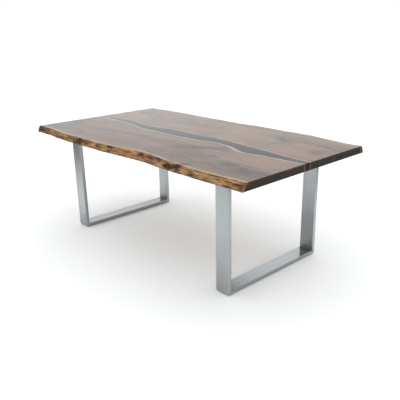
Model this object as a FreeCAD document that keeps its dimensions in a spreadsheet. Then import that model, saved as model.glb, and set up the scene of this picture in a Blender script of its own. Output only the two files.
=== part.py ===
import FreeCAD, Part
import math
import os
import Sketcher

# River dining table: two natural-edged walnut slabs joined by cast resin, on two steel leg frames.
# Millimetres. X runs along the table, +Y points to the back and +Z up. The origin is on the floor,
# under the middle of the top.

os.makedirs("parts", exist_ok=True)

# Driving sizes
SIZES = {
    # top
    "table_length": 2100,
    "table_width": 1150,
    "table_height": 766,
    "slab_thickness": 45,
    # how far a natural edge wanders in from the full width, leans in to its top and bulges half way up
    "edge_wander": 80,
    "edge_flare": 40,
    "edge_belly": 4,
    "river_width": 110,
    # leg frames, of rectangular tube
    "leg_inset": 295,
    "frame_setback": 161,
    "tube_width": 100,
    "tube_depth": 25,
    "tube_wall": 3,
    "tube_edge_radius": 2,
    "frame_corner_radius": 12,
    "plate_thickness": 6,
    # bolts, washers and threaded inserts that hold the frames and the channels to the slabs
    "bolt_diameter": 8,
    "bolt_length": 25,
    "bolt_head_width": 13,
    "bolt_head_height": 5.3,
    "washer_diameter": 24,
    "washer_thickness": 2,
    "insert_diameter": 12,
    "insert_length": 20,
    "insert_relief": 3,
    "thread_clearance": 0.05,
    "slot_length": 16,
    "slot_width": 9,
    "bolt_river_gap": 40,
    "bolt_post_gap": 40,
    # stiffening channels let into the underside of the top
    "channel_spacing": 700,
    "channel_setback": 125,
    "channel_width": 50,
    "channel_height": 16,
    "channel_wall": 4,
    "channel_clearance": 0.5,
    "channel_bolt_inset": 50,
    # levelling feet
    "foot_inset": 60,
    "glide_diameter": 40,
    "glide_height": 3,
    "glide_chamfer": 0.8,
    "glide_floor": 1,
    "stud_diameter": 8,
    "stud_headroom": 3,
    "nut_flange_diameter": 16,
    "nut_flange_height": 1,
    "nut_body_diameter": 11,
    "nut_body_length": 11,
    # how far a cutting shape runs past the face it cuts
    "cut_overrun": 1,
}

# Natural edges at evenly spaced stations from the left end to the right end.
# A wander share moves the lower edge in from the full width. A flare share moves the upper edge in
# from there.
FRONT_WANDER_SHARES = [0.25, 0.22, 0.02, 0, 0, 0.12, 0.26, 0.11, 0, 0.01, 0]
FRONT_FLARE_SHARES = [0.4, 0.42, 0.38, 0.5, 0.45, 0.75, 0.98, 0.65, 0.4, 0.38, 0.75]
BACK_WANDER_SHARES = [0.12, 0, 0.04, 0.2, 0.25, 0.35, 0.22, 0.3, 0.34, 0.68, 0.9]
BACK_FLARE_SHARES = [0.5, 0.55, 0.42, 0.4, 0.4, 0.42, 0.38, 0.4, 0.38, 0.5, 0.42]

# Shores of the river at even stations of their own, as shares of the river's width from the middle line
RIVER_FRONT_SHARES = [0.05, 0.09, 0, -0.11, -0.24, -0.37, -0.64, -0.64, -0.67, -0.74, -0.73,
                      -0.66, -0.61, -0.41, -0.44, -0.65, -1.03, -0.94, -0.86, -0.82, -0.73]
RIVER_BACK_SHARES = [0.45, 0.47, 0.45, 0.51, 0.45, 0.23, 0.16, 0.19, 0.35, 0.41, 0.37,
                     0.38, 0.45, 0.4, 0.32, 0.19, 0.08, -0.05, -0.18, -0.31, -0.35]

# Each shore leans in towards the other by this share of the width between them at the underside
RIVER_TAPER_SHARE = 0.1

# Bolts on each side of the river
LEG_BOLT_COUNT = 3
CHANNEL_BOLT_COUNT = 2

doc = FreeCAD.newDocument("river_table")
sheet = doc.addObject("Spreadsheet::Sheet", "sizes")
for row, (alias, value) in enumerate(SIZES.items(), start=1):
    sheet.set(f"A{row}", alias)
    sheet.set(f"B{row}", str(value))
    sheet.setAlias(f"B{row}", alias)
doc.recompute()

# Formulas over the sheet, shared by several pieces
LEG_X = "(sizes.table_length / 2 - sizes.leg_inset)"
CHANNEL_X = "(sizes.channel_spacing / 2)"
FRAME_HALF = "(sizes.table_width / 2 - sizes.frame_setback)"
CHANNEL_HALF = "(sizes.table_width / 2 - sizes.channel_setback)"
SLAB_BOTTOM = "(sizes.table_height - sizes.slab_thickness)"
PLATE_BOTTOM = f"({SLAB_BOTTOM} - sizes.plate_thickness)"
FRAME_BOTTOM = "(sizes.glide_height + sizes.nut_flange_height)"
BOLT_INNER_Y = "(sizes.river_width + sizes.bolt_river_gap)"
LEG_BOLT_OUTER_Y = f"({FRAME_HALF} - sizes.tube_depth - sizes.bolt_post_gap)"
CHANNEL_BOLT_OUTER_Y = f"({CHANNEL_HALF} - sizes.channel_bolt_inset)"
FOOT_Y = f"({FRAME_HALF} - sizes.foot_inset)"
HOLLOW_RADIUS = "(sizes.frame_corner_radius - sizes.tube_wall)"
# how far the mitre's outer end lies in from the square corner, on the tube and on its hollow
CORNER_POINT = f"(sizes.frame_corner_radius * (1 - {math.sqrt(0.5)}))"
HOLLOW_POINT = f"(sizes.frame_corner_radius - {HOLLOW_RADIUS} * {math.sqrt(0.5)})"

nodes = []


def size(formula):
    """Number that a formula over the sheet comes to."""
    return float(sheet.evalExpression(formula))


def node(kind, label):
    """Document object that becomes one named piece of the table."""
    piece = doc.addObject(kind, label)
    piece.Label = label
    nodes.append(piece)
    return piece


def place(piece, **formulas):
    """Bind the piece's position along the named axes to formulas."""
    for axis, formula in formulas.items():
        piece.setExpression(f"Placement.Base.{axis}", formula)


def origin_feature(body, role):
    """Axis or plane of the body's own origin."""
    return [feature for feature in body.Origin.OriginFeatures if feature.Role == role][0]


def new_sketch(body, name, plane, height=None):
    """Sketch on one of the body's origin planes, raised along its normal by a formula."""
    sketch = body.newObject("Sketcher::SketchObject", name)
    sketch.AttachmentSupport = [(origin_feature(body, plane), "")]
    sketch.MapMode = "FlatFace"
    if height:
        sketch.setExpression("AttachmentOffset.Base.z", height)
    return sketch


def bind(sketch, kind, index, point, formula):
    """Hold a point's distance from the sketch origin to a formula."""
    if formula == "0":
        axis = -2 if kind == "DistanceX" else -1
        sketch.addConstraint(Sketcher.Constraint("PointOnObject", index, point, axis))
        return
    name = f"{kind}_{index}_{point}"
    number = sketch.addConstraint(Sketcher.Constraint(kind, -1, 1, index, point, size(formula)))
    sketch.renameConstraint(number, name)
    sketch.setExpression(f"Constraints.{name}", formula)


def outline(sketch, corners, arc_centres=None):
    """Closed outline through corners, anticlockwise. A side listed in arc_centres is an arc."""
    arc_centres = arc_centres or {}
    points = [FreeCAD.Vector(size(x), size(y), 0) for x, y in corners]
    for side, start in enumerate(points):
        end = points[(side + 1) % len(points)]
        if side in arc_centres:
            centre = FreeCAD.Vector(*[size(formula) for formula in arc_centres[side]], 0)
            circle = Part.Circle(centre, FreeCAD.Vector(0, 0, 1), (start - centre).Length)
            angles = [math.atan2(p.y - centre.y, p.x - centre.x) for p in (start, end)]
            sketch.addGeometry(Part.ArcOfCircle(circle, *angles), False)
        else:
            sketch.addGeometry(Part.LineSegment(start, end), False)
    for side in range(len(points)):
        following = (side + 1) % len(points)
        sketch.addConstraint(Sketcher.Constraint("Coincident", side, 2, following, 1))
    for side, (x, y) in enumerate(corners):
        bind(sketch, "DistanceX", side, 1, x)
        bind(sketch, "DistanceY", side, 1, y)
    for side, (x, y) in arc_centres.items():
        bind(sketch, "DistanceY", side, 3, y)


def circle(sketch, diameter, y="0"):
    """Circle on the sketch's vertical axis."""
    centre = FreeCAD.Vector(0, size(y), 0)
    index = sketch.addGeometry(Part.Circle(centre, FreeCAD.Vector(0, 0, 1), size(diameter) / 2), False)
    bind(sketch, "DistanceX", index, 3, "0")
    bind(sketch, "DistanceY", index, 3, y)
    number = sketch.addConstraint(Sketcher.Constraint("Diameter", index, size(diameter)))
    sketch.renameConstraint(number, f"diameter_{index}")
    sketch.setExpression(f"Constraints.diameter_{index}", diameter)


def extrude(body, kind, sketch, length, both_ways=False, flip=False):
    """Pad or Pocket of a sketch, by a length formula."""
    feature = body.newObject(f"PartDesign::{kind}", f"{sketch.Name}_{kind.lower()}")
    feature.Profile = sketch
    feature.SideType = "Symmetric" if both_ways else "One side"
    feature.Reversed = flip
    feature.setExpression("Length", length)
    doc.recompute()
    return feature


def cut(body, sketch, length, both_ways=False, flip=False):
    """Pocket that has to take material away."""
    before = body.Shape.Volume
    feature = extrude(body, "Pocket", sketch, length, both_ways, flip)
    if not feature.Shape.Volume < before:
        raise RuntimeError(f"{feature.Name} cuts nothing")
    return feature


def repeat_across(body, features, span=None, count=1):
    """Repeat features along Y, by a span formula, and mirror them to the other side of the river."""
    steps = []
    transform = body.newObject("PartDesign::MultiTransform", f"{body.Name}_repeat")
    transform.Originals = features
    if span:
        row = body.newObject("PartDesign::LinearPattern", f"{body.Name}_row")
        row.Direction = (origin_feature(body, "Y_Axis"), [""])
        row.Occurrences = count
        row.setExpression("Length", span)
        steps.append(row)
    mirror = body.newObject("PartDesign::Mirrored", f"{body.Name}_mirror")
    mirror.MirrorPlane = (origin_feature(body, "XZ_Plane"), [""])
    steps.append(mirror)
    transform.Transformations = steps
    body.Tip = transform
    doc.recompute()


# Top

def natural_edge(wander_shares, flare_shares, outward):
    """Y values of a slab's outer edge: its upper line, the pull that bulges it, and its lower line."""
    low = [outward * (size("sizes.table_width") / 2 - share * size("sizes.edge_wander"))
           for share in wander_shares]
    high = [y - outward * share * size("sizes.edge_flare") for y, share in zip(low, flare_shares)]
    pull = [(a + b) / 2 + 2 * outward * size("sizes.edge_belly") for a, b in zip(low, high)]
    return [high, pull, low]


def river_edge(shares, other_shares):
    """Y values of one shore at the top and at the underside, where it leans towards the other shore."""
    high = [share * size("sizes.river_width") for share in shares]
    other = [share * size("sizes.river_width") for share in other_shares]
    low = [y + RIVER_TAPER_SHARE * (far - y) for y, far in zip(high, other)]
    return [high, low]


def border(levels):
    """Face of one edge: a smooth curve through Y values at even stations, swept down through the levels."""
    length = size("sizes.table_length")
    top = size("sizes.table_height")
    thickness = size("sizes.slab_thickness")
    degree = len(levels) - 1
    rows = []
    for level, values in enumerate(levels):
        z = top - thickness * level / degree
        stations = [i / (len(values) - 1) for i in range(len(values))]
        points = [FreeCAD.Vector(length * (u - 1 / 2), y, z) for u, y in zip(stations, values)]
        curve = Part.BSplineCurve()
        curve.interpolate(Points=points, Parameters=stations)
        rows.append(curve.getPoles())
    surface = Part.BSplineSurface()
    ends = [degree + 1, degree + 1]
    surface.buildFromPolesMultsKnots(rows, ends, curve.getMultiplicities(), [0, 1], curve.getKnots(),
                                     False, False, degree, curve.Degree)
    return surface.toShape()


def flat_between(first, second):
    """Flat face between two curves, closed by straight lines from end to end."""
    lines = [Part.makeLine(one.Point, other.Point) for one, other in zip(first.Vertexes, second.Vertexes)]
    return Part.Face(Part.Wire(Part.__sortEdges__([first, second, *lines])))


def top_blank(name, near, far):
    """Solid of the top's thickness between two edge faces."""
    faces = [near, far]
    for end in (min, max):
        for axis in ("x", "z"):
            edges = [end(face.Edges, key=lambda edge: getattr(edge.CenterOfMass, axis))
                     for face in (near, far)]
            faces.append(flat_between(*edges))
    shell = Part.Shell(faces)
    shell.sewShape()
    blank = doc.addObject("Part::Feature", name)
    blank.Shape = Part.Solid(shell)
    if blank.Shape.Volume < 0:
        blank.Shape = blank.Shape.reversed()
    return blank


def bore(x, y, bottom):
    """Blind hole for one threaded insert."""
    hole = doc.addObject("Part::Cylinder", "insert_bore")
    hole.setExpression("Radius", "sizes.insert_diameter / 2 + sizes.thread_clearance")
    hole.setExpression("Height", "sizes.insert_length + sizes.insert_relief + sizes.cut_overrun")
    place(hole, x=x, y=y, z=f"{bottom} - sizes.cut_overrun")
    return hole


def bores(x, outer_y, count, bottom):
    """Insert holes of one leg or channel, on both sides of the river."""
    holes = []
    for side in ("", "-"):
        for i in range(count):
            y = f"{side}({BOLT_INNER_Y} + ({outer_y} - {BOLT_INNER_Y}) * {i} / {count - 1})"
            holes.append(bore(x, y, bottom))
    return holes


def block(x, z, width, length, height):
    """Box centred on x and on the middle line, standing on z."""
    box = doc.addObject("Part::Box", "groove_block")
    box.setExpression("Length", width)
    box.setExpression("Width", length)
    box.setExpression("Height", height)
    place(box, x=f"{x} - {width} / 2", y=f"-{length} / 2", z=z)
    return box


def grooves(x):
    """Recess for a channel: a wide shallow one for its web and two deep ones for its flanges."""
    length = f"(2 * ({CHANNEL_HALF} + sizes.channel_clearance))"
    web_width = "(sizes.channel_width + 2 * sizes.channel_clearance)"
    flange_width = "(sizes.channel_wall + 2 * sizes.channel_clearance)"
    flange_x = "(sizes.channel_width - sizes.channel_wall) / 2"
    bottom = f"{SLAB_BOTTOM} - sizes.cut_overrun"
    web_height = "sizes.channel_wall + sizes.cut_overrun"
    flange_height = "sizes.channel_height + sizes.channel_clearance + sizes.cut_overrun"
    return [
        block(x, bottom, web_width, length, web_height),
        block(f"({x} - {flange_x})", bottom, flange_width, length, flange_height),
        block(f"({x} + {flange_x})", bottom, flange_width, length, flange_height),
    ]


front_edge = border(natural_edge(FRONT_WANDER_SHARES, FRONT_FLARE_SHARES, -1))
back_edge = border(natural_edge(BACK_WANDER_SHARES, BACK_FLARE_SHARES, 1))
river_front = border(river_edge(RIVER_FRONT_SHARES, RIVER_BACK_SHARES))
river_back = border(river_edge(RIVER_BACK_SHARES, RIVER_FRONT_SHARES))

cutters = []
for side in ("", "-"):
    cutters += bores(f"{side}{LEG_X}", LEG_BOLT_OUTER_Y, LEG_BOLT_COUNT, SLAB_BOTTOM)
    cutters += bores(f"{side}{CHANNEL_X}", CHANNEL_BOLT_OUTER_Y, CHANNEL_BOLT_COUNT,
                     f"({SLAB_BOTTOM} + sizes.channel_wall)")
    cutters += grooves(f"{side}{CHANNEL_X}")
underside_cutter = doc.addObject("Part::MultiFuse", "underside_cutter")
underside_cutter.Shapes = cutters

for label, near_edge, far_edge in (
    ("front_slab", front_edge, river_front),
    ("resin_river", river_front, river_back),
    ("back_slab", river_back, back_edge),
):
    piece = node("Part::Cut", label)
    piece.Base = top_blank(f"{label}_blank", near_edge, far_edge)
    piece.Tool = underside_cutter
doc.recompute()


# Leg frames

def round_long_edges(body, pad, axis):
    """Round the tube's edges that run along an axis or round a corner, but not its cut ends."""
    half_width = size("sizes.tube_width / 2")
    names = []
    for number, edge in enumerate(pad.Shape.Edges, start=1):
        middle = edge.valueAt((edge.FirstParameter + edge.LastParameter) / 2)
        if not math.isclose(abs(middle.x), half_width):
            continue
        along = edge.tangentAt(edge.FirstParameter)
        if edge.Curve.TypeId == "Part::GeomCircle" or math.isclose(abs(along.dot(axis)), 1):
            names.append(f"Edge{number}")
    fillet = body.newObject("PartDesign::Fillet", f"{body.Name}_rounding")
    fillet.Base = (pad, names)
    fillet.setExpression("Radius", "sizes.tube_edge_radius")
    doc.recompute()


def post(label, x, turned):
    """Upright tube of a frame, mitred into the foot bar. The front post is the back one turned round."""
    outer = FRAME_HALF
    inner = f"({FRAME_HALF} - sizes.tube_depth)"
    arc_y = f"{outer} - sizes.frame_corner_radius"
    arc_z = f"{FRAME_BOTTOM} + sizes.frame_corner_radius"
    body = node("PartDesign::Body", label)
    side = new_sketch(body, f"{label}_side", "YZ_Plane")
    outline(side, [
        (f"{outer} - {CORNER_POINT}", f"{FRAME_BOTTOM} + {CORNER_POINT}"),
        (outer, arc_z),
        (outer, PLATE_BOTTOM),
        (inner, PLATE_BOTTOM),
        (inner, f"{FRAME_BOTTOM} + sizes.tube_depth"),
    ], {0: (arc_y, arc_z)})
    pad = extrude(body, "Pad", side, "sizes.tube_width", both_ways=True)
    round_long_edges(body, pad, FreeCAD.Vector(0, 0, 1))
    hollow = new_sketch(body, f"{label}_hollow", "YZ_Plane")
    outline(hollow, [
        (f"{outer} - {HOLLOW_POINT}", f"{FRAME_BOTTOM} + {HOLLOW_POINT}"),
        (f"{outer} - sizes.tube_wall", arc_z),
        (f"{outer} - sizes.tube_wall", PLATE_BOTTOM),
        (f"{inner} + sizes.tube_wall", PLATE_BOTTOM),
        (f"{inner} + sizes.tube_wall", f"{FRAME_BOTTOM} + sizes.tube_depth - sizes.tube_wall"),
    ], {0: (arc_y, arc_z)})
    cut(body, hollow, "sizes.tube_width - 2 * sizes.tube_wall", both_ways=True)
    if turned:
        body.Placement = FreeCAD.Placement(FreeCAD.Vector(), FreeCAD.Rotation(180, 0, 0))
    place(body, x=x)


def foot_bar(label, x):
    """Tube along the floor, mitred into both posts, with a hole for the nut of each levelling foot."""
    outer = FRAME_HALF
    inner = f"({FRAME_HALF} - sizes.tube_depth)"
    low = FRAME_BOTTOM
    high = f"{FRAME_BOTTOM} + sizes.tube_depth"
    arc_y = f"{outer} - sizes.frame_corner_radius"
    arc_z = f"{low} + sizes.frame_corner_radius"
    body = node("PartDesign::Body", label)
    side = new_sketch(body, f"{label}_side", "YZ_Plane")
    outline(side, [
        (f"-({arc_y})", low),
        (arc_y, low),
        (f"{outer} - {CORNER_POINT}", f"{low} + {CORNER_POINT}"),
        (inner, high),
        (f"-{inner}", high),
        (f"-({outer} - {CORNER_POINT})", f"{low} + {CORNER_POINT}"),
    ], {1: (arc_y, arc_z), 5: (f"-({arc_y})", arc_z)})
    pad = extrude(body, "Pad", side, "sizes.tube_width", both_ways=True)
    round_long_edges(body, pad, FreeCAD.Vector(0, 1, 0))
    hollow = new_sketch(body, f"{label}_hollow", "YZ_Plane")
    outline(hollow, [
        (f"-({arc_y})", f"{low} + sizes.tube_wall"),
        (arc_y, f"{low} + sizes.tube_wall"),
        (f"{outer} - {HOLLOW_POINT}", f"{low} + {HOLLOW_POINT}"),
        (f"{inner} + sizes.tube_wall", f"{high} - sizes.tube_wall"),
        (f"-({inner} + sizes.tube_wall)", f"{high} - sizes.tube_wall"),
        (f"-({outer} - {HOLLOW_POINT})", f"{low} + {HOLLOW_POINT}"),
    ], {1: (arc_y, arc_z), 5: (f"-({arc_y})", arc_z)})
    cut(body, hollow, "sizes.tube_width - 2 * sizes.tube_wall", both_ways=True)
    holes = new_sketch(body, f"{label}_holes", "XY_Plane", f"{low} - sizes.cut_overrun")
    circle(holes, "sizes.nut_body_diameter + 2 * sizes.thread_clearance", FOOT_Y)
    circle(holes, "sizes.nut_body_diameter + 2 * sizes.thread_clearance", f"-{FOOT_Y}")
    cut(body, holes, "sizes.tube_wall + 2 * sizes.cut_overrun", flip=True)
    place(body, x=x)


def slots(body, bottom, height, outer_y, count):
    """Rows of slots, long across the grain so that the slabs can swell and shrink."""
    half = "sizes.slot_width / 2"
    reach = "(sizes.slot_length - sizes.slot_width) / 2"
    low = f"{BOLT_INNER_Y} - {reach}"
    high = f"{BOLT_INNER_Y} + {reach}"
    sketch = new_sketch(body, f"{body.Name}_slot", "XY_Plane", f"{bottom} - sizes.cut_overrun")
    outline(sketch, [
        (half, low),
        (half, high),
        (f"-{half}", high),
        (f"-{half}", low),
    ], {1: ("0", high), 3: ("0", low)})
    pocket = cut(body, sketch, f"{height} + 2 * sizes.cut_overrun", flip=True)
    repeat_across(body, [pocket], f"{outer_y} - {BOLT_INNER_Y}", count)


def top_plate(label, x):
    """Flat bar welded across the posts, bolted up into the slabs."""
    half = "sizes.tube_width / 2"
    body = node("PartDesign::Body", label)
    face = new_sketch(body, f"{label}_face", "XY_Plane", PLATE_BOTTOM)
    outline(face, [
        (f"-{half}", f"-{FRAME_HALF}"),
        (half, f"-{FRAME_HALF}"),
        (half, FRAME_HALF),
        (f"-{half}", FRAME_HALF),
    ])
    extrude(body, "Pad", face, "sizes.plate_thickness")
    slots(body, PLATE_BOTTOM, "sizes.plate_thickness", LEG_BOLT_OUTER_Y, LEG_BOLT_COUNT)
    place(body, x=x)


# Fasteners

def ring(body, name, bottom, height, diameter, bore_diameter, y):
    """Round piece with a hole through it."""
    sketch = new_sketch(body, f"{body.Name}_{name}", "XY_Plane", bottom)
    circle(sketch, diameter, y)
    circle(sketch, bore_diameter, y)
    return extrude(body, "Pad", sketch, height)


def fasteners(prefix, x, outer_y, count, under, insert_bottom):
    """Bolts, washers and inserts of one leg or channel. The washers lie against the height under."""
    span = f"{outer_y} - {BOLT_INNER_Y}"
    y = BOLT_INNER_Y
    hole = "sizes.bolt_diameter + 2 * sizes.thread_clearance"
    washers = node("PartDesign::Body", f"{prefix}_washers")
    washer_bottom = f"({under} - sizes.washer_thickness)"
    flat = ring(washers, "flat", washer_bottom, "sizes.washer_thickness", "sizes.washer_diameter", hole, y)
    repeat_across(washers, [flat], span, count)

    inserts = node("PartDesign::Body", f"{prefix}_inserts")
    sleeve = ring(inserts, "sleeve", insert_bottom, "sizes.insert_length", "sizes.insert_diameter", hole, y)
    repeat_across(inserts, [sleeve], span, count)

    bolts = node("PartDesign::Body", f"{prefix}_bolts")
    head_bottom = f"({washer_bottom} - sizes.bolt_head_height)"
    flats = "sizes.bolt_head_width / 2"
    corner = f"sizes.bolt_head_width / {math.sqrt(3)}"
    hexagon = new_sketch(bolts, f"{prefix}_hexagon", "XY_Plane", head_bottom)
    outline(hexagon, [
        (corner, y),
        (f"{corner} / 2", f"{y} + {flats}"),
        (f"-{corner} / 2", f"{y} + {flats}"),
        (f"-{corner}", y),
        (f"-{corner} / 2", f"{y} - {flats}"),
        (f"{corner} / 2", f"{y} - {flats}"),
    ])
    head = extrude(bolts, "Pad", hexagon, "sizes.bolt_head_height")
    round_section = new_sketch(bolts, f"{prefix}_shank", "XY_Plane", washer_bottom)
    circle(round_section, "sizes.bolt_diameter", y)
    shank = extrude(bolts, "Pad", round_section, "sizes.bolt_length")
    repeat_across(bolts, [head, shank], span, count)

    for body in (washers, inserts, bolts):
        place(body, x=x)


# Stiffening channels

def channel(label, x):
    """Steel channel flush with the underside of the top, flanges up, bolted to both slabs."""
    half = "sizes.channel_width / 2"
    wall = "sizes.channel_wall"
    low = SLAB_BOTTOM
    high = f"{SLAB_BOTTOM} + sizes.channel_height"
    body = node("PartDesign::Body", label)
    section = new_sketch(body, f"{label}_section", "XZ_Plane")
    outline(section, [
        (f"-{half}", low),
        (half, low),
        (half, high),
        (f"{half} - {wall}", high),
        (f"{half} - {wall}", f"{low} + {wall}"),
        (f"-({half} - {wall})", f"{low} + {wall}"),
        (f"-({half} - {wall})", high),
        (f"-{half}", high),
    ])
    extrude(body, "Pad", section, f"2 * {CHANNEL_HALF}", both_ways=True)
    slots(body, low, wall, CHANNEL_BOLT_OUTER_Y, CHANNEL_BOLT_COUNT)
    place(body, x=x)


# Levelling feet

def foot_nuts(label, x):
    """Rivet nuts in the floor of a foot bar."""
    hole = "sizes.stud_diameter + 2 * sizes.thread_clearance"
    body = node("PartDesign::Body", label)
    flange = ring(body, "flange", "sizes.glide_height", "sizes.nut_flange_height",
                  "sizes.nut_flange_diameter", hole, FOOT_Y)
    sleeve = ring(body, "sleeve", FRAME_BOTTOM, "sizes.nut_body_length",
                  "sizes.nut_body_diameter", hole, FOOT_Y)
    repeat_across(body, [flange, sleeve])
    place(body, x=x)


def glide(label, x, y):
    """Nylon disc that stands on the floor, moulded round the lower end of its stud."""
    radius = "sizes.glide_diameter / 2"
    chamfer = "sizes.glide_chamfer"
    height = "sizes.glide_height"
    socket = "sizes.stud_diameter / 2 + sizes.thread_clearance"
    body = node("PartDesign::Body", label)
    section = new_sketch(body, f"{label}_section", "XZ_Plane")
    outline(section, [
        ("0", "0"),
        (f"{radius} - {chamfer}", "0"),
        (radius, chamfer),
        (radius, f"{height} - {chamfer}"),
        (f"{radius} - {chamfer}", height),
        (socket, height),
        (socket, "sizes.glide_floor"),
        ("0", "sizes.glide_floor"),
    ])
    turned = body.newObject("PartDesign::Revolution", f"{label}_turned")
    turned.Profile = section
    turned.ReferenceAxis = (section, ["V_Axis"])
    doc.recompute()
    place(body, x=x, y=y)


def stud(label, x, y):
    """Threaded stud of a levelling foot."""
    body = node("PartDesign::Body", label)
    section = new_sketch(body, f"{label}_section", "XY_Plane", "sizes.glide_floor")
    circle(section, "sizes.stud_diameter")
    top = f"({FRAME_BOTTOM} + sizes.tube_depth - sizes.tube_wall - sizes.stud_headroom)"
    extrude(body, "Pad", section, f"{top} - sizes.glide_floor")
    place(body, x=x, y=y)


for side, sign in (("left", "-"), ("right", "")):
    leg_x = f"{sign}{LEG_X}"
    post(f"{side}_front_post", leg_x, turned=True)
    post(f"{side}_back_post", leg_x, turned=False)
    foot_bar(f"{side}_foot_bar", leg_x)
    top_plate(f"{side}_top_plate", leg_x)
    fasteners(f"{side}_leg", leg_x, LEG_BOLT_OUTER_Y, LEG_BOLT_COUNT, PLATE_BOTTOM, SLAB_BOTTOM)
    channel_x = f"{sign}{CHANNEL_X}"
    channel(f"{side}_channel", channel_x)
    fasteners(f"{side}_channel", channel_x, CHANNEL_BOLT_OUTER_Y, CHANNEL_BOLT_COUNT, SLAB_BOTTOM,
              f"({SLAB_BOTTOM} + sizes.channel_wall)")
    foot_nuts(f"{side}_foot_nuts", leg_x)
    for end, end_sign in (("front", "-"), ("back", "")):
        glide(f"{end}_{side}_glide", leg_x, f"{end_sign}{FOOT_Y}")
        stud(f"{end}_{side}_stud", leg_x, f"{end_sign}{FOOT_Y}")

doc.recompute()

# Every object has to be sound before the pieces are written
for item in doc.Objects:
    if "Invalid" in item.State or "Error" in item.State:
        raise RuntimeError(f"{item.Label} could not be built: {item.State}")
for piece in nodes:
    if piece.Shape.isNull() or not piece.Shape.isValid():
        raise RuntimeError(f"{piece.Label} has no valid shape")
    piece.Shape.exportStep(f"parts/{piece.Label}.step")
    print(piece.Label, len(piece.Shape.Solids), round(piece.Shape.Volume))
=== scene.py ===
# %% [markdown]
# # A river dining table
# Two walnut boards with natural edges are joined by a smoky resin river and stand on two frames of
# brushed steel tube. The measured model already holds every size and place. This lesson adds what the
# eye looks for: the rough natural edge, the figure of the wood, the gloss of the resin and the brushed
# steel, then a floor, soft light and a camera.
#
# The boards could be carved by hand, but code that follows the measured lines stays true to size, so
# each new piece here is worked out from the lines of the model.

# %% Load the measured model
import math

import bpy
import numpy as np
from mathutils import Matrix, Vector, noise


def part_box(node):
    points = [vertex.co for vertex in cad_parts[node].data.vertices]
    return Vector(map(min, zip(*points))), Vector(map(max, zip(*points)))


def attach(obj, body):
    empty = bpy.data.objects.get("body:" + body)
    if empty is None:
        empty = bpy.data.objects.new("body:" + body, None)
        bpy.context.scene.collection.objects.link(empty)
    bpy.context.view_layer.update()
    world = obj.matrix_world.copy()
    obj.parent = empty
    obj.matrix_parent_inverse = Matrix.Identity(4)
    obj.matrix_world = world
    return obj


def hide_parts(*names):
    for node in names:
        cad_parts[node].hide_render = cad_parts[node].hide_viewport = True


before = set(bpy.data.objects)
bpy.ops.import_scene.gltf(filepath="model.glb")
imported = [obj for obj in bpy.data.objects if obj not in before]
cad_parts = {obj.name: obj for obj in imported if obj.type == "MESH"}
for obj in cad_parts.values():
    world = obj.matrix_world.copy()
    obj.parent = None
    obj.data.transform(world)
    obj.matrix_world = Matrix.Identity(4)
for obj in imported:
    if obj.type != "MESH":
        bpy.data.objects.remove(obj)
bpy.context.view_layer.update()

# %% [markdown]
# ## The lines of the top
# Six lines draw the top: the upper and lower line of both natural edges, and the two shores of the
# river. They could be typed again as numbers. Reading them from the corners of the measured pieces is
# safer, because the lines then always fit the pieces they came from. A cubic curve through the corners
# takes away the short straight steps.

# %% Read the lines from the measured pieces
LOW_CORNER, HIGH_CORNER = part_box("front_slab")
UNDERSIDE, TOP = LOW_CORNER[2], HIGH_CORNER[2]
HALF_LENGTH = HIGH_CORNER[0]
THICKNESS = TOP - UNDERSIDE
SAME_HEIGHT = 0.0001

# piece, height, and the two sides of a band across the table that holds this line and no other
LINE_PLACES = {
    "front_top": ("front_slab", TOP, -0.7, -0.45),
    "front_low": ("front_slab", UNDERSIDE, -0.7, -0.5),
    "back_top": ("back_slab", TOP, 0.4, 0.7),
    "back_low": ("back_slab", UNDERSIDE, 0.46, 0.7),
    "front_shore": ("front_slab", TOP, -0.3, 0.2),
    "back_shore": ("back_slab", TOP, -0.2, 0.3),
}


def curve_through(xs, ys):
    """Smooth curve through points, as a function of x."""
    slopes = np.gradient(ys, xs)

    def curve(x):
        i = np.clip(np.searchsorted(xs, x) - 1, 0, len(xs) - 2)
        step = xs[i + 1] - xs[i]
        t = (x - xs[i]) / step
        return (ys[i] * (1 + 2 * t) * (1 - t) ** 2 + ys[i + 1] * t * t * (3 - 2 * t)
                + step * t * (1 - t) * (slopes[i] * (1 - t) - slopes[i + 1] * t))
    return curve


def measured_line(node, height, nearest, farthest):
    """Curve through a piece's corners at one height, inside a band across the table."""
    corners = {}
    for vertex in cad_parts[node].data.vertices:
        x, y, z = vertex.co
        if abs(z - height) < SAME_HEIGHT and nearest < y < farthest:
            corners[round(x, 4)] = y
    xs = np.array(sorted(corners))
    print(node, "line at", round(height, 3), "from", len(xs), "corners")
    return curve_through(xs, np.array([corners[x] for x in xs]))


lines = {name: measured_line(*place) for name, place in LINE_PLACES.items()}

# %% [markdown]
# ## Columns along the table
# Both boards and the river share one set of cross-sections, called columns here. Because they share
# them, the wood and the resin meet point for point and no sliver of light shows between them. A few
# columns are set close together: at the ends, where a sharp edge would look false and is eased a
# little, and at the sides of the two grooves that hold the stiffening channels.

# %% Columns and grooves
COLUMN_COUNT = 561
EASED_END = 0.0006
GROOVE_WALL = 0.0005
GROOVE_CLEAR = 0.0012
TOUCH = 1e-6
grooves = []
for side in ("left", "right"):
    low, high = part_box(f"{side}_channel")
    grooves.append((low[0] - GROOVE_WALL, high[0] + GROOVE_WALL))
groove_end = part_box("left_channel")[1][1] + GROOVE_WALL

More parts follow.
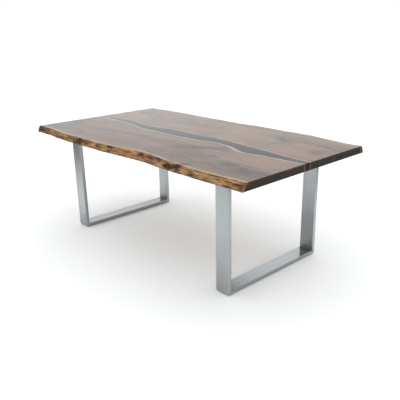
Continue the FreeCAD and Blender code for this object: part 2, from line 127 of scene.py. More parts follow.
columns = list(np.linspace(-HALF_LENGTH, HALF_LENGTH, COLUMN_COUNT))
columns += [HALF_LENGTH - EASED_END, -HALF_LENGTH + EASED_END]
for start, end in grooves:
    columns = [x for x in columns if min(abs(x - start), abs(x - end)) > GROOVE_CLEAR]
    columns += [start - GROOVE_WALL, start, end, end + GROOVE_WALL]
columns = np.array(sorted(columns))
in_groove = np.zeros(len(columns), bool)
for start, end in grooves:
    in_groove |= (columns > start - TOUCH) & (columns < end + TOUCH)
easing = np.where(np.abs(columns) > HALF_LENGTH - TOUCH, EASED_END, 0.0)
print(len(columns), "columns,", int(in_groove.sum()), "of them in the grooves")

# %% [markdown]
# ## The natural edge
# The outer edge of each board is the tree's own outside with the bark taken off: it leans out towards
# the floor, ripples along the trunk, and keeps dark patches where bark is still there. A displacement
# modifier could push a plain face about, but it knows nothing of the patches. Here the edge is built
# row by row from the measured lines, with soft noise for the ripples and a list of patches that are
# sunk a little into the wood. The same list later tells the material where to turn dark.

# %% Rows down the edge and bark patches
ROW_DEPTHS = np.array([0, 0.007, 0.024, 0.052, 0.095, 0.167, 0.25, 0.345, 0.44, 0.536, 0.631, 0.726,
                       0.821, 0.905, 0.962, 0.988, 1])
BARK_FALL = 1.6

# place along the table, depth share, half length, half height share, strength
FRONT_BARK = [
    (-1.02, 0.35, 0.2, 0.9, 0.62), (-0.74, 0.08, 0.06, 0.1, 0.6), (-0.67, 0.62, 0.06, 0.3, 0.6),
    (-0.44, 0.5, 0.07, 0.6, 1.0), (-0.49, 0.85, 0.035, 0.2, 0.9), (-0.36, 0.4, 0.07, 0.5, 0.6),
    (-0.22, 0.42, 0.03, 0.25, 0.7), (-0.09, 0.22, 0.045, 0.24, 0.75), (-0.09, 0.65, 0.025, 0.25, 0.6),
    (0.0, 0.28, 0.07, 0.07, 0.55), (0.08, 0.36, 0.09, 0.08, 0.6), (0.2, 0.25, 0.05, 0.26, 0.8),
    (0.3, 0.28, 0.16, 0.34, 0.58), (0.385, 0.14, 0.06, 0.16, 0.8), (0.465, 0.62, 0.04, 0.3, 1.1),
    (0.495, 0.5, 0.06, 0.35, 1.3), (0.54, 0.36, 0.05, 0.35, 0.95), (0.57, 0.1, 0.045, 0.35, 0.85),
    (0.56, 0.75, 0.05, 0.3, 0.7), (0.69, 0.65, 0.07, 0.3, 0.55), (0.93, 0.33, 0.08, 0.09, 0.62),
    (0.99, 0.42, 0.07, 0.12, 0.75), (0.95, 0.85, 0.045, 0.14, 0.85), (1.035, 0.6, 0.025, 0.4, 0.58),
]
BACK_BARK = [
    (-0.98, 0.6, 0.06, 0.5, 1.0), (-0.74, 0.35, 0.08, 0.3, 0.9), (-0.52, 0.7, 0.05, 0.35, 1.0),
    (-0.3, 0.3, 0.05, 0.35, 1.1), (-0.24, 0.75, 0.08, 0.2, 0.9), (0.02, 0.55, 0.06, 0.5, 1.1),
    (0.2, 0.8, 0.07, 0.2, 0.8), (0.41, 0.3, 0.06, 0.35, 1.0), (0.5, 0.65, 0.05, 0.4, 1.1),
    (0.74, 0.7, 0.08, 0.2, 0.8), (0.97, 0.4, 0.05, 0.4, 0.9),
]


def bark_at(patches):
    """How deep in a bark patch each point of the edge is, from 0 to 1."""
    x, share = np.meshgrid(columns, ROW_DEPTHS, indexing="ij")
    deepest = np.zeros_like(x)
    for place, depth, half_length, half_height, strength in patches:
        reach = ((x - place) / half_length) ** 2 + ((share - depth) / half_height) ** 2
        deepest = np.maximum(deepest, strength * np.exp(-BARK_FALL * reach))
    return np.clip(deepest, 0, 1)


front_bark, back_bark = bark_at(FRONT_BARK), bark_at(BACK_BARK)
print("mean bark", front_bark.mean().round(3), "in front,", back_bark.mean().round(3), "at the back")

# %% Ripples and the shape of the edge
EDGE_BELLY = 0.004
TOP_ROUNDING = 0.003
LOW_ROUNDING = 0.002
BARK_SINK = 0.006
WAVE_RATE, WAVE_HEIGHT = 9, 0.0035
RIDGE_RATE, RIDGE_RATE_DOWN, RIDGE_HEIGHT = 10, 3.2, 0.004
CHIP_RATE, CHIP_RATE_DOWN, CHIP_HEIGHT = 55, 7, 0.0012
CALM_START, CALM_GAIN = 0.15, 3


def layered_noise(place, fall, layers):
    """Noise in layers, each twice as fine as the one before it and weaker by the fall."""
    return noise.fractal(Vector(place), fall, 2.0, layers)


def ripples(seed):
    """Push in and out along the edge: slow waves, ridges along the trunk and small chips. Ridges and
    chips are calmer near the top line."""
    push = np.zeros((len(columns), len(ROW_DEPTHS)))
    for c, x in enumerate(columns):
        wave = layered_noise((x * WAVE_RATE, seed, 0), 1.0, 3) * WAVE_HEIGHT
        for r, share in enumerate(ROW_DEPTHS):
            ridge = layered_noise((x * RIDGE_RATE, share * RIDGE_RATE_DOWN, seed + 5), 0.9, 4)
            chip = layered_noise((x * CHIP_RATE, share * CHIP_RATE_DOWN, seed + 9), 0.8, 3)
            rough = ridge * RIDGE_HEIGHT + chip * CHIP_HEIGHT
            push[c, r] = wave + min(1, CALM_START + share * CALM_GAIN) * rough
    return push


def edge_rows(top_line, low_line, outward, bark, seed):
    """Y of every point of a natural edge, by column and row."""
    high, low = top_line(columns)[:, None], low_line(columns)[:, None]
    pull = (high + low) / 2 + 2 * outward * EDGE_BELLY
    share = ROW_DEPTHS[None, :]
    y = high * (1 - share) ** 2 + 2 * pull * share * (1 - share) + low * share ** 2
    depth = share * THICKNESS
    for room, rounding in ((depth, TOP_ROUNDING), (THICKNESS - depth, LOW_ROUNDING)):
        close = 1 - np.clip(room / rounding, 0, 1)
        y = y - outward * rounding * (1 - np.sqrt(1 - close ** 2))
    return y + outward * (ripples(seed) - BARK_SINK * bark - easing[:, None])


front_edge = edge_rows(lines["front_top"], lines["front_low"], -1, front_bark, 3.0)
back_edge = edge_rows(lines["back_top"], lines["back_low"], 1, back_bark, 17.0)
print("front edge from", front_edge.min().round(4), "to", front_edge.max().round(4))
print("back edge from", back_edge.min().round(4), "to", back_edge.max().round(4))

# %% [markdown]
# ## The shores of the river
# The resin was poured against the other natural edges of the boards, so both shores lean in towards
# each other as they go down. They could ripple like the outer edges, but only their upper line shows,
# so each shore is one straight slope per column.

# %% Shore points down through the top
SHORE_LEAN = 0.1


def shore_rows(line, other_line):
    """Y of every point of a shore, by column and row."""
    here, there = line(columns)[:, None], other_line(columns)[:, None]
    return here + SHORE_LEAN * (there - here) * ROW_DEPTHS[None, :]


front_shore = shore_rows(lines["front_shore"], lines["back_shore"])
back_shore = shore_rows(lines["back_shore"], lines["front_shore"])
river_widths = (back_shore - front_shore)[:, 0]
print("river from", river_widths.min().round(4), "to", river_widths.max().round(4), "wide")

# %% [markdown]
# ## From rows to a closed board
# A board is skinned like a boat: every column is a closed ring of points over the top, down the outer
# face, back along the underside and up the inner face, and neighbouring rings are joined by four-sided
# faces. The two sawn ends are filled with a small net of faces instead of one big one, so that rings
# of growth and sapwood can be painted on them. The underside steps up where a channel lies. Each face
# knows whether it is flat wood, sawn end or natural edge, because these three get different finishes.

# %% Points across the top and the underside
NEAR_SHARES = [0, 0.008, 0.018, 0.03, 0.05]
EVEN_SHARES = np.linspace(0.085, 0.915, 23)
ACROSS = np.array(NEAR_SHARES + list(EVEN_SHARES) + [1 - share for share in NEAR_SHARES[::-1]])
LAST = len(ACROSS) - 1
STEPS_PAST_GROOVE = 8
GROOVE_STEPS = LAST - STEPS_PAST_GROOVE
GROOVE_DEPTH = 0.0045


def level(deep):
    """Height of every row of a column, with the step of the groove where deep is true."""
    top = TOP - easing[:, None]
    low = UNDERSIDE + easing[:, None] + np.where(in_groove & deep, GROOVE_DEPTH, 0.0)[:, None]
    return top - (top - low) * ROW_DEPTHS[None, :]


def underside_points(inner, outer, outward, through):
    """Points across the underside: even up to the end of the groove, then on to the outer edge."""
    if through:
        return inner[:, None] + (outer - inner)[:, None] * ACROSS[None, :]
    y = np.zeros((len(columns), LAST + 1))
    stop = np.full(len(columns), outward * groove_end)
    for j in range(GROOVE_STEPS + 1):
        y[:, j] = inner + (stop - inner) * j / GROOVE_STEPS
    start = stop + outward * GROOVE_WALL
    rest = LAST - GROOVE_STEPS - 1
    for j in range(rest + 1):
        y[:, GROOVE_STEPS + 1 + j] = start + (outer - start) * j / rest
    return y


print(LAST + 1, "points across,", len(ROW_DEPTHS), "rows down")

# %% Skin the boards and the river
TOP_LOOK, END_LOOK, EDGE_LOOK = 0, 1, 2
SHARP_ANGLE = math.radians(40)


def skin(name, inner, outer, outward, through=False):
    """Closed mesh between an inner and an outer face. Gives the mesh and, for each point, its column,
    its share across, its row and whether it lies on the outer face."""
    rows = len(ROW_DEPTHS) - 1
    inner_z, outer_z = level(True), level(through)
    top_y = inner[:, :1] + (outer - inner)[:, :1] * ACROSS[None, :]
    low_y = underside_points(inner[:, -1], outer[:, -1], outward, through)
    low_share = (low_y - inner[:, -1:]) / (outer - inner)[:, -1:]
    in_step = np.arange(LAST + 1) <= (LAST if through else GROOVE_STEPS)
    low_z = np.where(in_step[None, :], inner_z[:, -1:], outer_z[:, -1:])

    ring = [(j, 0) for j in range(LAST + 1)] + [(LAST, k) for k in range(1, rows + 1)]
    ring += [(j, rows) for j in range(LAST - 1, -1, -1)] + [(0, k) for k in range(rows - 1, 0, -1)]
    points, facts, index = [], [], {}

    def point(c, j, k):
        if (c, j, k) in index:
            return index[c, j, k]
        depth = ROW_DEPTHS[k]
        share = ACROSS[j] * (1 - depth) + low_share[c, j] * depth
        if k == 0:
            y, z = top_y[c, j], TOP - easing[c]
        elif k == rows:
            y, z = low_y[c, j], low_z[c, j]
        else:
            y = inner[c, k] + share * (outer - inner)[c, k]
            z = inner_z[c, k] + share * (outer_z - inner_z)[c, k]
        index[c, j, k] = len(points)
        points.append((columns[c], y, z))
        facts.append((c, share, k, j == LAST))
        return index[c, j, k]

    faces, looks = [], []
    for c in range(len(columns) - 1):
        for i, (here, there) in enumerate(zip(ring, ring[1:] + ring[:1])):
            faces.append([point(c, *here), point(c, *there), point(c + 1, *there), point(c + 1, *here)])
            natural = LAST < i < LAST + rows and not through
            looks.append(EDGE_LOOK if natural else TOP_LOOK)
    for c, turned in ((0, False), (len(columns) - 1, True)):
        for j in range(LAST):
            for k in range(rows):
                face = [point(c, j, k), point(c, j, k + 1), point(c, j + 1, k + 1), point(c, j + 1, k)]
                faces.append(face[::-1] if turned else face)
                looks.append(END_LOOK)
    if outward > 0:
        faces = [face[::-1] for face in faces]
    mesh = bpy.data.meshes.new(name)
    mesh.from_pydata(points, [], faces)
    mesh.polygons.foreach_set("use_smooth", np.ones(len(faces), bool))
    mesh.set_sharp_from_angle(angle=SHARP_ANGLE)
    mesh.polygons.foreach_set("material_index", np.array(looks, np.int32))
    print(name, len(points), "points", len(faces), "faces")
    return mesh, np.array(facts, float)


front_mesh, front_facts = skin("front_board", front_shore, front_edge, -1)
back_mesh, back_facts = skin("back_board", back_shore, back_edge, 1)
river_mesh, river_facts = skin("river", front_shore, back_shore, 1, through=True)


# %% Put the boards and the river in the scene
def new_object(name, data):
    """New object in the scene."""
    made = bpy.data.objects.new(name, data)
    bpy.context.scene.collection.objects.link(made)
    return made


def new_piece(name, mesh, node):
    """Piece of the table top that stands for a measured node."""
    piece = new_object(name, mesh)
    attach(piece, "table")
    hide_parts(node)
    return piece


front_board = new_piece("front_board", front_mesh, "front_slab")
back_board = new_piece("back_board", back_mesh, "back_slab")
river = new_piece("river", river_mesh, "resin_river")
print("placed", [piece.name for piece in (front_board, back_board, river)])

# %% [markdown]
# ## Marks for the materials
# Walnut is dark in its heart and pale just under the bark. The pale sapwood follows the natural edge
# and the shores, so no texture pattern can know where it is, but the mesh does. Each point stores how
# far inside the pale band it lies, in metres, how far down it is, and how much bark it keeps. The
# river stores how far each point is from a shore, and its front rim shows less.

# %% Store sapwood, depth, bark and shore distance
EDGE_SAP_WIDTH, EDGE_SAP_RATE = 0.014, 6
SHORE_SAP_WIDTH, SHORE_SAP_RATE = 0.012, 5
SAP_WANDER = 0.006
GOLD_PLACE, GOLD_SPREAD, GOLD_WIDTH = 0.55, 0.075, 0.015
FRONT_RIM_LOSS = 0.008


def mark(mesh, name, values):
    """Store one number per point on the mesh, for the materials to read."""
    layer = mesh.attributes.new(name, "FLOAT", "POINT")
    layer.data.foreach_set("value", np.asarray(values, np.float32))


def wavy(seed, rate):
    """Slow random change of the sapwood along the columns."""
    return np.array([layered_noise((x * rate, seed, 7), 1.0, 3) * SAP_WANDER for x in columns])


def mark_board(mesh, facts, inner, outer, bark, shore_sap):
    """Store the marks of one board."""
    c, k = facts[:, 0].astype(int), facts[:, 2].astype(int)
    across = facts[:, 1]
    width = np.abs(outer - inner)[c, k]
    edge_sap = EDGE_SAP_WIDTH + wavy(31.0, EDGE_SAP_RATE)
    band = np.maximum(edge_sap[c] - (1 - across) * width, shore_sap[c] - across * width)
    mark(mesh, "sapwood", band)
    mark(mesh, "down", ROW_DEPTHS[k])
    mark(mesh, "bark", facts[:, 3] * bark[c, k])


golden_bend = GOLD_WIDTH * np.exp(-((columns - GOLD_PLACE) / GOLD_SPREAD) ** 2)
front_sap = SHORE_SAP_WIDTH + golden_bend + wavy(41.0, SHORE_SAP_RATE)
back_sap = SHORE_SAP_WIDTH + wavy(53.0, SHORE_SAP_RATE)
mark_board(front_mesh, front_facts, front_shore, front_edge, front_bark, front_sap)
mark_board(back_mesh, back_facts, back_shore, back_edge, back_bark, back_sap)
river_share = river_facts[:, 1]
river_width = river_widths[river_facts[:, 0].astype(int)]
mark(river_mesh, "from_shore",
     np.minimum(river_share * river_width + FRONT_RIM_LOSS, (1 - river_share) * river_width))
print("marks stored on", len(front_facts) + len(back_facts) + len(river_facts), "points")

# %% [markdown]
# ## A short way to write materials
# A material is a small net of nodes. Writing each node out takes many lines, so a few helpers make a
# node, fill in its inputs and hand back its output. An output knows the net it lives in, so a helper
# that is given one needs nothing else to find its place. Colours are written as they look on a screen,
# from 0 to 255, and turned into the linear light that the renderer works in.

# %% Helpers for colours and sums
def tint(*screen):
    """Linear colour of a screen colour, by the standard curve of screens."""
    linear = [v / 255 / 12.92 if v <= 10 else ((v / 255 + 0.055) / 1.055) ** 2.4 for v in screen]
    return (*linear, 1.0)


def linked(value):
    """Whether a value is the output of a node."""
    return isinstance(value, bpy.types.NodeSocket)


def fill(sockets, inputs):
    """Link or set each named input."""
    for name, value in inputs.items():
        if linked(value):
            value.id_data.links.new(value, sockets[name])
        else:
            sockets[name].default_value = value


def add(kind, inputs, tree=None, **settings):
    """New node with its settings and inputs, in the net of its inputs unless one is given."""
    tree = tree or next(value.id_data for value in inputs.values() if linked(value))
    made = tree.nodes.new(kind)
    for name, value in settings.items():
        setattr(made, name, value)
    fill(made.inputs, inputs)
    return made


def calc(operation, first, second=0.0):
    """One sum on numbers."""
    return add("ShaderNodeMath", {0: first, 1: second}, operation=operation).outputs[0]


def plus(first, second):
    """Sum of two numbers."""
    return calc("ADD", first, second)


def minus(first, second):
    """First number less the second."""
    return calc("SUBTRACT", first, second)


def times(first, second):
    """Product of two numbers."""
    return calc("MULTIPLY", first, second)


def weighed(first, first_share, second, second_share):
    """Sum of two numbers, each times its share."""
    return plus(times(first, first_share), times(second, second_share))


def fade(value, low, high, start=0.0, end=1.0):
    """Smooth change from start to end as the value goes from low to high."""
    inputs = {"Value": value, "From Min": low, "From Max": high, "To Min": start, "To Max": end}
    return add("ShaderNodeMapRange", inputs, interpolation_type="SMOOTHSTEP").outputs["Result"]


def mix(share, first, second):
    """Mix of two colours."""
    return add("ShaderNodeMix", {0: share, 6: first, 7: second}, data_type="RGBA").outputs[2]


def laid(colour, tone, value, low, high, most=1.0):
    """A tone laid over a colour, up to its most, as the value goes from low to high."""
    return mix(fade(value, low, high, 0.0, most), colour, tone)


print("middle grey is", round(tint(128, 128, 128)[0], 3), "of white in linear light")


# %% Helpers for places and patterns
def vector(operation, first, second):
    """One sum on places."""
    return add("ShaderNodeVectorMath", {0: first, 1: second}, operation=operation).outputs[0]


def stretched(place, factors):
    """Place with each axis multiplied, which stretches a pattern along the small ones."""
    return vector("MULTIPLY", place, factors)


def scaled(place, factor):
    """Place with all axes multiplied alike."""
    return add("ShaderNodeVectorMath", {0: place, "Scale": factor}, operation="SCALE").outputs[0]


def length(place):
    """Distance of a place from the origin."""
    return add("ShaderNodeVectorMath", {0: place}, operation="LENGTH").outputs["Value"]


def split(place):
    """The X, Y and Z of a place."""
    return add("ShaderNodeSeparateXYZ", {0: place}).outputs


def own_place(tree):
    """Place on the piece, in metres."""
    return add("ShaderNodeTexCoord", {}, tree).outputs["Object"]


def swayed(place, scale, detail, reach):
    """Place pushed about by soft noise, which bends straight grain."""
    drift = add("ShaderNodeTexNoise", {"Vector": place, "Scale": scale, "Detail": detail})
    return vector("ADD", place, stretched(drift.outputs["Color"], reach))


def cloud(place, scale, detail=3.0, roughness=0.5, distortion=0.0):
    """Soft noise from 0 to 1."""
    inputs = {"Vector": place, "Scale": scale, "Detail": detail, "Roughness": roughness,
              "Distortion": distortion}
    return add("ShaderNodeTexNoise", inputs).outputs["Fac"]


def pattern(place, rates, detail=3.0, roughness=0.5, distortion=0.0):
    """Soft noise with its own rate along each axis."""
    return cloud(stretched(place, rates), 1.0, detail, roughness, distortion)


def stored(tree, name):
    """Number stored on the mesh."""
    return add("ShaderNodeAttribute", {}, tree, attribute_name=name).outputs["Fac"]


print("patterns ready")


# %% Helpers for shaders
def new_material(name):
    """Material with its tree and its shader."""
    material = bpy.data.materials.new(name)
    material.use_nodes = True
    return material, material.node_tree, material.node_tree.nodes["Principled BSDF"]


def feed(shader, **inputs):
    """Link or set inputs of the shader, named in small letters with _ for a space."""
    fill({socket.name.lower().replace(" ", "_"): socket for socket in shader.inputs}, inputs)


def raised(height, distance, strength=1.0):
    """Surface relief from a height, in metres."""
    inputs = {"Height": height, "Distance": distance, "Strength": strength}
    return add("ShaderNodeBump", inputs).outputs["Normal"]


print("shaders ready")

# %% [markdown]
# ## Effects that several finishes share
# Growth lines, pores and soft patches belong to both boards, fine scuffs to nearly everything, and
# brush lines to every bar of the legs. They could be copied into each material. Built once as a group
# with named inputs and outputs, an effect is placed by each material with its own values, and a change
# to the group reaches them all.

# %% Groups for grain and patches
def new_group(name, inputs, outputs):
    """Empty node group with its sockets. Gives the tree, its inputs and its outputs."""
    tree = bpy.data.node_groups.new(name, "ShaderNodeTree")
    for way, sockets in (("INPUT", inputs), ("OUTPUT", outputs)):
        for label, kind in sockets.items():
            tree.interface.new_socket(label, in_out=way, socket_type=f"NodeSocket{kind}")
    return tree, tree.nodes.new("NodeGroupInput").outputs, tree.nodes.new("NodeGroupOutput").inputs


def place_group(group, inputs):
    """The group as a node of a material."""
    return add("ShaderNodeGroup", inputs, node_tree=group).outputs


def make_grain():
    """Walnut figure: broad bands along the board, growth lines and short dark pores."""
    tree, given, wanted = new_group("walnut_grain", {"Place": "Vector", "Band Rate": "Float"},
                                    {"Bands": "Float", "Lines": "Float", "Pores": "Float"})
    bent = swayed(given["Place"], 2.6, 2.0, (0.02, 0.12, 0.02))
    bands = cloud(stretched(bent, (0.9, 5.0, 5.0)), given["Band Rate"], 5.0, 0.55)
    growth = pattern(bent, (2.2, 110.0, 60.0), 4.0, 0.6)
    pores = pattern(bent, (55.0, 900.0, 900.0), 2.0)
    fill(wanted, {"Bands": fade(bands, 0.3, 0.7), "Lines": fade(growth, 0.34, 0.68),
                  "Pores": fade(pores, 0.6, 0.7)})
    return tree


def make_patch():
    """Soft oval patch at a chosen place and slant."""
    tree, given, wanted = new_group(
        "soft_patch", {"Place": "Vector", "Middle": "Vector", "Slant": "Float", "Half Size": "Vector"},
        {"Patch": "Float"})
    offset = vector("SUBTRACT", given["Place"], given["Middle"])
    turned = add("ShaderNodeVectorRotate", {"Vector": offset, "Angle": given["Slant"]},
                 rotation_type="Z_AXIS").outputs[0]
    share = vector("DIVIDE", turned, given["Half Size"])
    reach = length(stretched(share, (1.0, 1.0, 0.0)))
    fill(wanted, {"Patch": fade(reach, 1.0, 0.1)})
    return tree


walnut_grain = make_grain()
soft_patch = make_patch()
print("groups", [group.name for group in (walnut_grain, soft_patch)])

# %% Groups for scuffs and brush lines
BRUSH_BAND_SCALE = 0.06


def make_scuffs():
    """Fine wear: faint wiped patches and hairline scratches."""
    tree, given, wanted = new_group("fine_scuffs", {"Place": "Vector", "Size": "Float"},
                                    {"Scuffs": "Float", "Scratches": "Float"})
    sized = scaled(given["Place"], given["Size"])
    wiped = cloud(sized, 9.0, 5.0, 0.6, 0.4)
    hair = pattern(sized, (30.0, 160.0, 90.0), 2.0, 0.5, 1.5)
    fill(wanted, {"Scuffs": fade(wiped, 0.35, 0.75), "Scratches": fade(hair, 0.62, 0.72)})
    return tree


def make_brush_lines():
    """Fine lines left by brushing. Stretch is small along the bar and large across it."""
    tree, given, wanted = new_group("brush_lines", {"Place": "Vector", "Stretch": "Vector"},
                                    {"Lines": "Float", "Bands": "Float"})
    run = stretched(given["Place"], given["Stretch"])
    wide = cloud(scaled(run, BRUSH_BAND_SCALE), 1.0, 4.0, 0.6)
    fill(wanted, {"Lines": cloud(run, 1.0, 3.0, 0.7), "Bands": fade(wide, 0.3, 0.7)})
    return tree


fine_scuffs = make_scuffs()
brush_lines = make_brush_lines()
print("groups", [group.name for group in (fine_scuffs, brush_lines)])

# %% [markdown]
# ## Walnut
# The flat faces are muted heartwood that drifts from rose-brown to grey, with a flame-like figure,
# bluish dark streaks and a soft cream line of sapwood along the river and the edge. A grain pattern
# alone gives an even board, so lists of soft patches say where the wood is warmer, greyer or darker,
# as a maker would choose boards for their figure. The natural edge is rough, mottled gold and brown,
# with cracks, red-brown stain and near-black bark. The sawn ends are almost black, because end grain
# drinks the oil, with a lighter rust-brown line along the top, sapwood strips at the edge and beside
# the river, and a paler back corner. The finish is a satin oil, so a little of the surroundings shows
# at low angles.

# %% Colours and patches of the flat faces
HEART = tint(118, 95, 82)
HEART_PALE = tint(152, 126, 108)
HEART_ROSE = tint(168, 137, 116)
HEART_GREY = tint(112, 103, 99)
HEART_DUSK = tint(92, 76, 70)
STREAK = tint(62, 64, 70)

# middle along and across the table, slant in degrees, half length, half width, strength
FRONT_PATCHES = [
    (HEART_ROSE, [(0.88, -0.2, 0, 0.36, 0.18, 0.85), (0.1, -0.42, 2, 0.35, 0.1, 0.25)]),
    (HEART_GREY, [(-0.95, -0.28, -8, 0.36, 0.24, 0.9), (-0.55, -0.4, 0, 0.4, 0.16, 0.65),
                  (0.88, -0.46, -4, 0.28, 0.09, 0.8)]),
    (HEART_DUSK, [(0.44, -0.34, -15, 0.18, 0.1, 0.65), (-0.13, -0.365, -10, 0.14, 0.05, 0.4),
                  (0.93, -0.43, -6, 0.2, 0.075, 0.8), (0.85, -0.37, -4, 0.24, 0.09, 0.4)]),
    (STREAK, [(0.34, -0.215, 21, 0.34, 0.085, 0.9), (0.47, -0.145, 10, 0.17, 0.055, 0.95),
              (0.58, -0.29, -20, 0.07, 0.035, 0.75), (0.765, -0.36, 15, 0.1, 0.065, 0.9),
              (0.91, -0.4, -20, 0.11, 0.06, 0.75), (1.0, -0.37, -6, 0.11, 0.055, 0.85),
              (0.88, -0.325, 0, 0.09, 0.04, 0.5), (0.7, -0.325, 0, 0.08, 0.04, 0.4),
              (0.26, -0.31, 20, 0.18, 0.06, 0.8), (0.55, -0.315, 2, 0.09, 0.03, 0.6),
              (-0.97, -0.24, -30, 0.16, 0.1, 0.65), (-0.93, -0.4, 0, 0.32, 0.14, 0.55),
              (0.1, -0.2, 8, 0.24, 0.1, 0.35), (-0.54, -0.27, 10, 0.12, 0.06, 0.35)]),
    (HEART_ROSE, [(0.47, -0.215, 13, 0.11, 0.03, 0.6)]),
]
BACK_PATCHES = [
    (HEART_ROSE, [(0.28, 0.27, 0, 0.42, 0.19, 0.9), (0.8, 0.11, -5, 0.38, 0.15, 0.75),
                  (-0.28, 0.1, 0, 0.45, 0.14, 0.65), (-0.86, 0.2, 0, 0.36, 0.22, 0.85),
                  (-0.55, 0.36, -3, 0.3, 0.09, 0.6), (0.33, 0.1, -5, 0.28, 0.08, 0.9),
                  (0.82, 0.25, 0, 0.22, 0.11, 0.75), (-0.15, 0.4, 0, 0.5, 0.15, 0.4)]),
    (HEART_GREY, [(-0.6, 0.17, 5, 0.16, 0.07, 0.5), (0.3, 0.49, -3, 0.4, 0.06, 0.5)]),
    (HEART_DUSK, [(0.62, 0.18, 70, 0.12, 0.035, 0.5), (-0.28, 0.28, -12, 0.13, 0.06, 0.15)]),
    (STREAK, [(0.6, 0.3, -31, 0.16, 0.06, 0.8), (0.755, 0.318, 13, 0.11, 0.02, 0.7),
              (0.935, 0.297, -17, 0.18, 0.024, 0.9), (0.945, 0.16, -40, 0.1, 0.07, 0.65),
              (-0.145, 0.495, -20, 0.08, 0.04, 0.6)]),
]
FRONT_KNOTS = [(0.58, -0.525, 10, 0.06, 0.034, 1.0), (0.21, -0.476, 0, 0.04, 0.016, 0.6),
               (0.48, -0.542, 5, 0.06, 0.022, 0.6)]
BACK_KNOTS = [(-0.145, 0.53, 0, 0.04, 0.015, 0.8)]
print(sum(len(patches) for _, patches in FRONT_PATCHES + BACK_PATCHES), "soft patches")

# %% Heartwood
LINE_DARK = tint(70, 54, 46)
BAND_RATE = 1.3
FIGURE_SWAY = (0.09, 0.06, 0.0)
HALF_SWAY = tuple(reach / 2 for reach in FIGURE_SWAY)
FLAME_SHARE, LINE_SHARE, PORE_SHARE = 0.4, 0.28, 0.3


def strongest(place, patches):
    """Strongest of a list of soft patches at each place."""
    total = 0.0
    for x, y, slant, half_length, half_width, strength in patches:
        patch = place_group(soft_patch, {
            "Place": place, "Middle": (x, y, 0), "Slant": -math.radians(slant),
            "Half Size": (half_length, half_width, 1)})["Patch"]
        total = calc("MAXIMUM", times(patch, strength), total)
    return total


def heartwood(place, patch_lists):
    """Colour and grain of the top and the underside, before the sapwood."""
    grain = place_group(walnut_grain, {"Place": place, "Band Rate": BAND_RATE})
    bent = swayed(place, 7.0, 4.0, FIGURE_SWAY)
    centred = vector("SUBTRACT", bent, HALF_SWAY)
    colour = mix(grain["Bands"], HEART, HEART_PALE)
    faded = cloud(stretched(place, (0.8, 3.5, 1.0)), 1.6)
    colour = laid(colour, HEART_GREY, faded, 0.42, 0.68, 0.35)
    broken = fade(grain["Lines"], 0, 1, 0.75, 1)
    for tone, patches in patch_lists:
        colour = mix(times(strongest(centred, patches), broken), colour, tone)
    flame = pattern(bent, (4.0, 17.0, 17.0), 4.0, 0.6, 0.8)
    colour = laid(colour, HEART_DUSK, flame, 0.54, 0.72, FLAME_SHARE)
    colour = laid(colour, HEART_ROSE, flame, 0.46, 0.28, FLAME_SHARE)
    colour = mix(times(grain["Lines"], LINE_SHARE), colour, LINE_DARK)
    colour = mix(times(grain["Pores"], PORE_SHARE), colour, LINE_DARK)
    return colour, grain


print("the figure sways by up to", max(HALF_SWAY), "m")

# %% Flat faces of the walnut
SAP = tint(194, 168, 136)
SAP_GOLD = tint(196, 150, 92)
RIND_BROWN = tint(124, 88, 62)
RIND_LINE = tint(70, 48, 36)
SAP_JITTER = 0.011
SAP_FADE = (-0.005, 0.004)
PORE_DEPTH, LINE_DEPTH, GRAIN_RELIEF = -0.05, -0.012, 0.0012


def make_walnut(name, patch_lists, knots):
    """Flat faces of one board."""
    material, tree, shader = new_material(name)
    place = own_place(tree)
    colour, grain = heartwood(place, patch_lists)
    jitter = minus(pattern(place, (12.0, 60.0, 60.0), 4.0, 0.6), 0.5)
    band = plus(stored(tree, "sapwood"), times(jitter, SAP_JITTER))
    sap_colour = laid(SAP, SAP_GOLD, band, 0.014, 0.026)
    sap_colour = mix(times(grain["Lines"], 0.2), sap_colour, RIND_BROWN)
    colour = laid(colour, sap_colour, band, *SAP_FADE, 0.88)
    colour = mix(strongest(place, knots), colour, RIND_LINE)
    scuffs = place_group(fine_scuffs, {"Place": place, "Size": 1.0})
    rough = plus(fade(scuffs["Scuffs"], 0, 1, 0.15, 0.22), times(grain["Pores"], 0.1))
    height = weighed(grain["Pores"], PORE_DEPTH, grain["Lines"], LINE_DEPTH)
    feed(shader, base_color=colour, roughness=rough, normal=raised(height, GRAIN_RELIEF))
    print(name, len(tree.nodes), "nodes")
    return material


front_walnut = make_walnut("front_walnut", FRONT_PATCHES, FRONT_KNOTS)
back_walnut = make_walnut("back_walnut", BACK_PATCHES, BACK_KNOTS)

# %% Natural edge of the walnut
RIND_GOLD = tint(192, 152, 100)
RIND_PALE = tint(214, 178, 126)
RIND_ORANGE = tint(188, 132, 82)
RIND_DEEP = tint(96, 64, 46)
RIND_RED = tint(116, 78, 54)
BARK = tint(44, 35, 32)
BARK_RUST = tint(94, 64, 47)
RIND_WARM = [(0.1, 0.0, 0, 0.6, 3.0, 0.8), (-0.9, 0.0, 0, 0.3, 3.0, 0.6)]
BARK_RAGGED = 2.6
EDGE_RELIEF = 0.0015
DULL_SHINE = 0.25


